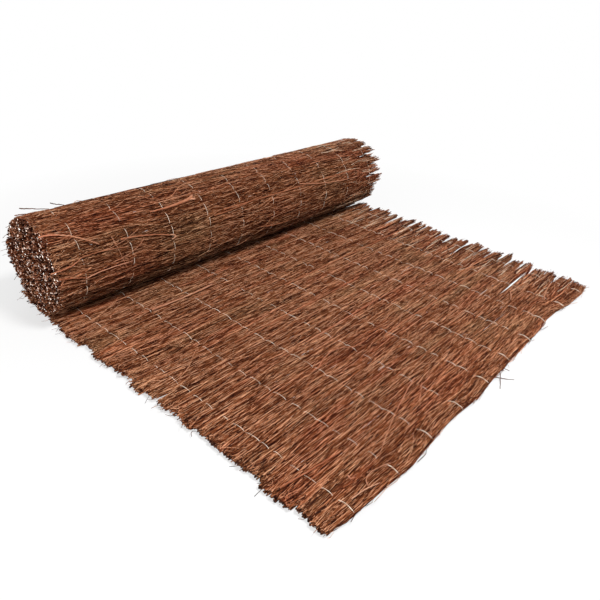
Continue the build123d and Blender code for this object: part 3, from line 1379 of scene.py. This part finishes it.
@dataclass
class Binding:
    """The lines of wire that hold the heather together."""

    path: MatPath
    flat_start: float = 0.03
    flat_count: int = 23
    flat_seed: int = 31
    flat_rise: float = 0.0018
    roll_start: float = 0.09
    roll_count: int = 17
    roll_seed: int = 32
    roll_rise: float = 0.0014
    wrap_seed: int = 33
    wrap_radius: float = 0.00065
    wrap_rings: int = 16
    wrap_sides: int = 6
    wrap_shift: float = 0.001
    wrap_slant: float = 0.25
    wrap_middle: float = 0.015

    def wrap_route(self) -> list[Range]:
        """List places (along, height) of a wire over the free end, from the mat's top to its underside."""
        half = self.path.thickness / 2
        down = [(0.029, 0.0020), (0.024, 0.0045), (self.wrap_middle, half + 0.0012), (0.006, 0.0046)]
        return down + [(0.0, 0.002), (-0.0015, -0.001), (0.001, 0.001 - half)]

    def wraps(self, finish: bpy.types.Material) -> bpy.types.Object:
        """Bend each line over the free end and down its edge.

        Args:
            finish: the wire's material.

        Returns:
            The wraps as one mesh.
        """
        chance = np.random.default_rng(self.wrap_seed)
        tubes = TubeMesh(self.wrap_rings, self.wrap_sides)
        for line in range(WIRE_LINES):
            middle = FIRST_WIRE + WIRE_SPACING * line
            shift = self.path.free_end_at(middle) + chance.uniform(-self.wrap_shift, self.wrap_shift)
            slant = chance.uniform(-self.wrap_slant, self.wrap_slant)
            places = []
            for along, height in self.wrap_route():
                across = middle + slant * (along - self.wrap_middle)
                places.append(self.path.point(across, along + shift, height))
            radii = [self.wrap_radius] * self.wrap_rings
            tubes.add(curve_through(places, self.wrap_rings), radii, chance.uniform(0.0, 1.0))
        return tubes.build("free_end_wraps", finish, "wire")

    def build(self, finish: bpy.types.Material) -> list[bpy.types.Object]:
        """Sew both faces and wrap the free end.

        Args:
            finish: the wire's material.

        Returns:
            The stitches on each face, and the wraps.
        """
        half = self.path.thickness / 2
        tree = StitchTree(self.path)
        rise, start = half + self.flat_rise, self.flat_start
        flat = Stitches("flat_stitches", Face.TOP, start, self.flat_count, self.flat_seed, rise)
        rise, start = half + self.roll_rise, self.path.unrolled + self.roll_start
        roll = Stitches("roll_stitches", Face.UNDER, start, self.roll_count, self.roll_seed, rise)
        pieces = [flat.build(tree, finish), roll.build(tree, finish), self.wraps(finish)]
        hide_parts(*numbered("stitch_wire", WIRE_LINES))
        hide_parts(*numbered("back_wire", WIRE_LINES))
        return pieces


@dataclass(frozen=True)
class StemShape:
    """A stem that lies loose on the mat, through three places.

    A place is (across, along) on the flat part, and (across, turn in degrees) on the roll.
    """

    start: Range
    via: Range
    end: Range
    radius: float
    end_share: float
    arch: float
    tint: float
    rise: float = 0.0


@dataclass
class CoarseStems:
    """The thicker stems: those seated between the bundles, and those that lie loose on top."""

    path: MatPath
    seed: int = 41
    rings: int = 22
    sides: int = 7
    knot: float = 0.16
    bend: float = 0.0016
    bend_places: int = 6
    bend_lift: float = 0.3
    seated_taper: float = 0.3
    seated_tint: Range = (0.3, 0.8)
    bed: float = 0.0012
    shake: float = 0.0004
    droop_from: float = 0.008
    droop: float = 0.35
    roll_shapes: tuple[StemShape, ...] = (
        StemShape((-0.283, 218.0), (-0.224, 218.0), (-0.172, 214.3), 0.0013, 3.2, 0.001, 0.72),
        StemShape((-0.184, 215.4), (-0.174, 213.4), (-0.168, 211.5), 0.0026, 0.9, 0.001, 0.85),
        StemShape((-0.184, 215.8), (-0.174, 216.6), (-0.167, 217.2), 0.0024, 0.9, 0.001, 0.95),
        StemShape((-0.508, 212.0), (-0.463, 221.5), (-0.412, 237.5), 0.0016, 0.7, 0.009, 0.8),
        StemShape((-0.368, 239.3), (-0.310, 243.5), (-0.258, 251.5), 0.0016, 0.9, 0.001, 0.65),
        StemShape((-0.258, 251.0), (-0.246, 254.5), (-0.256, 257.0), 0.0014, 0.8, 0.001, 0.95),
        StemShape((-0.515, 252.7), (-0.478, 251.3), (-0.453, 245.5), 0.0013, 0.8, 0.002, 0.75),
        StemShape((-0.455, 246.0), (-0.405, 246.0), (-0.355, 250.0), 0.0011, 0.7, 0.001, 0.6),
        StemShape((-0.503, 261.3), (-0.476, 265.0), (-0.449, 270.0), 0.0011, 0.8, 0.001, 0.6),
        StemShape((-0.452, 270.5), (-0.418, 267.5), (-0.352, 268.0), 0.0010, 0.7, 0.001, 1.0),
        StemShape((-0.383, 232.6), (-0.376, 255.4), (-0.367, 272.6), 0.0005, 0.8, 0.001, 0.9),
        StemShape((-0.417, 245.1), (-0.372, 243.0), (-0.321, 232.9), 0.0006, 0.8, 0.001, 0.8),
        StemShape((-0.387, 261.6), (-0.344, 254.9), (-0.318, 245.1), 0.0006, 0.8, 0.001, 0.8),
        StemShape((-0.137, 245.0), (-0.060, 243.0), (0.017, 238.0), 0.0014, 0.8, 0.0, 0.55),
        StemShape((0.006, 283.0), (0.060, 289.0), (0.112, 291.0), 0.0012, 0.7, 0.001, 0.6),
        StemShape((0.151, 237.0), (0.262, 248.0), (0.397, 253.0), 0.0015, 0.7, 0.0, 0.75),
        StemShape((0.223, 212.5), (0.300, 211.0), (0.402, 216.5), 0.0013, 0.7, 0.0, 0.7),
    )
    flat_shapes: tuple[StemShape, ...] = (
        StemShape((-0.347, 0.581), (-0.260, 0.578), (-0.188, 0.582), 0.0017, 1.1, 0.0, 0.85),
        StemShape((-0.423, 0.607), (-0.400, 0.618), (-0.349, 0.612), 0.0012, 0.7, 0.001, 0.75),
        StemShape((-0.142, 0.093), (-0.250, 0.065), (-0.347, 0.030), 0.0011, 0.6, 0.001, 0.8),
        StemShape((-0.404, 0.010), (-0.385, 0.021), (-0.345, 0.011), 0.0010, 0.7, 0.001, 0.8),
        StemShape((-0.409, 0.041), (-0.412, 0.035), (-0.405, 0.033), 0.0011, 0.7, 0.001, 1.0),
        StemShape((-0.252, 0.227), (-0.192, 0.243), (-0.149, 0.226), 0.0013, 0.7, 0.002, 0.75),
        StemShape((-0.439, 0.013), (-0.410, 0.008), (-0.386, 0.002), 0.0009, 0.8, 0.001, 1.0),
        StemShape((-0.495, 0.094), (-0.440, 0.085), (-0.385, 0.077), 0.0015, 0.7, 0.0, 0.7),
        StemShape((0.430, 0.056), (0.370, 0.047), (0.330, 0.035), 0.0014, 0.7, 0.001, 0.8),
        StemShape((0.309, 0.108), (0.290, 0.098), (0.272, 0.091), 0.0013, 0.8, 0.002, 0.85),
        StemShape((0.018, 0.004), (-0.014, -0.014), (-0.040, -0.026), 0.0010, 0.5, -0.002, 0.1),
        StemShape((-0.034, 0.002), (-0.012, -0.014), (0.006, -0.033), 0.0010, 0.5, -0.002, 0.1),
        StemShape((0.006, 0.003), (0.016, -0.006), (0.021, -0.017), 0.0009, 0.5, -0.001, 0.1),
    )
    roll_hairs: tuple[StemShape, ...] = (
        StemShape((-0.492, 158.0), (-0.470, 159.0), (-0.444, 163.0), 0.0010, 0.7, 0.0, 0.15, 0.012),
        StemShape((-0.432, 156.0), (-0.424, 158.0), (-0.412, 162.0), 0.0010, 0.7, 0.0, 0.0, 0.009),
        StemShape((-0.512, 170.0), (-0.495, 168.0), (-0.470, 167.0), 0.0009, 0.7, 0.0, 0.3, 0.005),
    )

    def seated(self, tubes: TubeMesh, node: str, chance: np.random.Generator) -> None:
        """Add a stem along the line of one fixed solid, with bends, knots and a taper.

        Args:
            tubes: the mesh that it joins.
            node: the solid's name.
            chance: where its random numbers come from.
        """
        low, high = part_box(node)
        radius = (high[1] - low[1]) / 2
        middle_y, middle_z = (low[1] + high[1]) / 2, (low[2] + high[2]) / 2
        places = []
        for i, bend in enumerate(chance.uniform(-self.bend, self.bend, self.bend_places)):
            x = low[0] + (high[0] - low[0]) * i / (self.bend_places - 1)
            places.append(Vector((x, middle_y + bend, middle_z + abs(bend) * self.bend_lift)))
        knots = 1 + chance.uniform(-self.knot, self.knot, self.rings)
        radii = [radius * knots[i] * (1.0 - self.seated_taper * i / self.rings) for i in range(self.rings)]
        tubes.add(curve_through(places, self.rings), radii, chance.uniform(*self.seated_tint))

    def loose(self, tubes: TubeMesh, shape: StemShape, ground: Ground, chance: np.random.Generator) -> None:
        """Add a loose stem.

        Args:
            tubes: the mesh that it joins.
            shape: its line and thickness.
            ground: what it lies on.
            chance: where its random numbers come from.
        """
        surface = self.path.thickness / 2 + self.bed + shape.radius * 0.5
        middle = [2 * v - (a + b) / 2 for a, v, b in zip(shape.start, shape.via, shape.end)]
        line = []
        for i in range(self.rings):
            t = i / (self.rings - 1)
            across, along = (
                a * (1 - t) ** 2 + m * 2 * t * (1 - t) + b * t * t
                for a, m, b in zip(shape.start, middle, shape.end)
            )
            height = surface + shape.arch * 4 * t * (1 - t) + shape.rise * (1 - t)
            if ground is Ground.ROLL:
                along, height = self.path.along_at_turn(along), -height
            elif along < self.droop_from:
                height += (along - self.droop_from) * self.droop
            shake = Vector(chance.uniform(-self.shake, self.shake, 3))
            line.append(self.path.point(across, along, height) + shake)
        knots = 1 + chance.uniform(-self.knot, self.knot, self.rings)
        shares = np.linspace(1.0, shape.end_share, self.rings)
        tubes.add(line, list(shape.radius * knots * shares), shape.tint)

    def build(self, finish: bpy.types.Material) -> list[bpy.types.Object]:
        """Make both kinds.

        Args:
            finish: the stems' material.

        Returns:
            The seated stems and the loose ones.
        """
        chance = np.random.default_rng(self.seed)
        nodes = numbered("coarse_stem", STEM_NODES)
        seated = TubeMesh(self.rings, self.sides)
        for node in nodes:
            self.seated(seated, node, chance)
        loose = TubeMesh(self.rings, self.sides)
        for ground, shapes in (
            (Ground.ROLL, self.roll_shapes),
            (Ground.FLAT, self.flat_shapes),
            (Ground.ROLL, self.roll_hairs),
        ):
            for shape in shapes:
                self.loose(loose, shape, ground, chance)
        pieces = [
            seated.build("seated_stems", finish, "coarse_stem"),
            loose.build("laid_stems", finish, "coarse_stem"),
        ]
        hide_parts(*nodes)
        return pieces


@dataclass(frozen=True)
class Lamp:
    """A round soft lamp."""

    name: str
    place: tuple[float, float, float]
    size: float
    power: float


@dataclass
class Studio:
    """Floor, light and camera."""

    lens: float = 34.015
    sensor: float = 36.0
    nearest: float = 0.01
    eye: tuple[float, float, float] = (-0.91469, -0.65241, 0.62231)
    azimuth: float = -51.398
    elevation: float = 30.184
    roll: float = 5.153
    aim: tuple[float, float, float] = (0.0, 0.0, 0.05)
    lamps: tuple[Lamp, ...] = (
        Lamp("overhead_light", (0.05, -0.92, 1.93), 0.5, 42.0),
        Lamp("side_light", (-1.7, 0.1, 0.28), 0.6, 15.0),
        Lamp("back_light", (1.7, 1.5, 1.0), 1.2, 13.0),
    )
    room_light: float = 0.23
    floor_radius: float = 16.0
    floor_corners: int = 64
    floor_tone: float = 0.9
    floor_roughness: float = 0.9
    fade: Range = (0.45, 1.1)
    fade_share: Range = (0.55, 1.0)

    def floor(self) -> None:
        """Lay a white floor that keeps the shadow near the object and fades to plain white."""
        mesh = bpy.data.meshes.new("floor")
        turns = [2 * math.pi * i / self.floor_corners for i in range(self.floor_corners)]
        corners = [(self.floor_radius * math.cos(t), self.floor_radius * math.sin(t), 0.0) for t in turns]
        mesh.from_pydata(corners, [], [tuple(range(self.floor_corners))])
        piece = bpy.data.objects.new("floor", mesh)
        bpy.context.scene.collection.objects.link(piece)
        shader = Shader("white_floor")
        tone = (self.floor_tone, self.floor_tone, self.floor_tone, 1.0)
        shader.dress({"Base Color": tone, "Roughness": self.floor_roughness, "Specular IOR Level": 0.0})
        where = shader.node("ShaderNodeTexCoord", {}).outputs["Object"]
        away = shader.node("ShaderNodeVectorMath", {0: where}, operation="LENGTH").outputs["Value"]
        share = shader.remap(away, self.fade, self.fade_share) * shader.seen_directly()
        plain = shader.out("ShaderNodeEmission", {"Color": WHITE, "Strength": 1.0})
        both = shader.out("ShaderNodeMixShader", {0: share, 1: shader.surface.outputs[0], 2: plain})
        shader.put(shader.output.inputs["Surface"], both)
        mesh.materials.append(shader.material)

    def light(self) -> None:
        """Hang a soft lamp above the free end, weaker ones at the near side and behind, and a pale room."""
        for lamp in self.lamps:
            data = bpy.data.lights.new(lamp.name, "AREA")
            data.shape = "DISK"
            data.size = lamp.size
            data.energy = lamp.power
            holder = bpy.data.objects.new(lamp.name, data)
            holder.location = lamp.place
            way = Vector(self.aim) - Vector(lamp.place)
            holder.rotation_euler = way.to_track_quat("-Z", "Y").to_euler()
            bpy.context.scene.collection.objects.link(holder)
        world = bpy.data.worlds.new("pale_room")
        world.use_nodes = True
        sky = NodeMaker(world.node_tree)
        sky.tree.nodes.clear()
        room = sky.out("ShaderNodeBackground", {"Color": WHITE, "Strength": self.room_light})
        white = sky.out("ShaderNodeBackground", {"Color": WHITE, "Strength": 1.0})
        both = sky.out("ShaderNodeMixShader", {0: sky.seen_directly(), 1: room, 2: white})
        sky.node("ShaderNodeOutputWorld", {"Surface": both})
        bpy.context.scene.world = world

    def camera(self) -> None:
        """Set the camera where the photographer's stood."""
        turn, lift, tilt = (math.radians(a) for a in (self.azimuth, self.elevation, self.roll))
        back = Vector((math.sin(turn) * math.cos(lift), -math.cos(turn) * math.cos(lift), math.sin(lift)))
        right = (-back).cross(UP).normalized()
        up = right.cross(-back)
        tilted_right = right * math.cos(tilt) + up * math.sin(tilt)
        tilted_up = up * math.cos(tilt) - right * math.sin(tilt)
        data = bpy.data.cameras.new("camera")
        data.sensor_fit = "HORIZONTAL"
        data.sensor_width = self.sensor
        data.lens = self.lens
        data.clip_start = self.nearest
        piece = bpy.data.objects.new("camera", data)
        bpy.context.scene.collection.objects.link(piece)
        axes = Matrix((tilted_right, tilted_up, back)).transposed().to_4x4()
        piece.matrix_world = Matrix.Translation(Vector(self.eye)) @ axes
        bpy.context.scene.camera = piece


def mat_path() -> MatPath:
    """Read the mat's place from the fixed solids."""
    wires = numbered("stitch_wire", WIRE_LINES)
    first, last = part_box(wires[0]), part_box(wires[-1])
    middle = (first[0][0] + first[1][0] + last[0][0] + last[1][0]) / 4
    return MatPath(free_end_y=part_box("heather_mat")[0][1], middle_x=middle)


def bark_finishes() -> dict[Bark, bpy.types.Material]:
    """Make the material of each kind of bark."""
    browns = ((0.0, "260A03"), (0.25, "58260F"), (0.5, "844929"), (0.75, "A96843"), (1.0, "E0A580"))
    pale_cuts = ((0.0, "2C170E"), (0.5, "6A4230"), (0.7, "B98A72"), (0.84, "F4DED0"), (1.0, "FFF8F2"))
    # Pale browns up to cream: painted highlights, for twigs laid over the edges.
    highlight_stops = ((0.0, "6A3A22"), (0.5, "BC8058"), (1.0, "F6DABE"))
    coarse = ((0.0, "3A2014"), (0.4, "844C30"), (0.7, "A8694A"), (1.0, "D09A7C"))
    kinds = (
        BarkFinish(Bark.BROWN, browns),
        BarkFinish(Bark.CUT, browns, pale_cuts),
        BarkFinish(Bark.WORN, highlight_stops, patch_share=0.05, ruddy_share=0.1, fleck_share=0.7),
        BarkFinish(Bark.COARSE, coarse, patch="70503A", patch_share=0.25, fleck_share=0.35),
    )
    return {kind.bark: kind.make() for kind in kinds}


def main() -> None:
    """Build every piece in order and dress it."""
    logging.basicConfig(level=logging.INFO, format="%(name)s: %(message)s")
    bpy.context.scene.view_settings.view_transform = "Standard"
    path = mat_path()
    barks = bark_finishes()
    pieces = HeatherMat(path).build(barks)
    pieces += Binding(path).build(WireFinish().make())
    pieces += CoarseStems(path).build(barks[Bark.COARSE])
    studio = Studio()
    studio.floor()
    studio.light()
    studio.camera()
    for piece in pieces:
        piece.data.calc_loop_triangles()


if __name__ == "__main__":
    main()
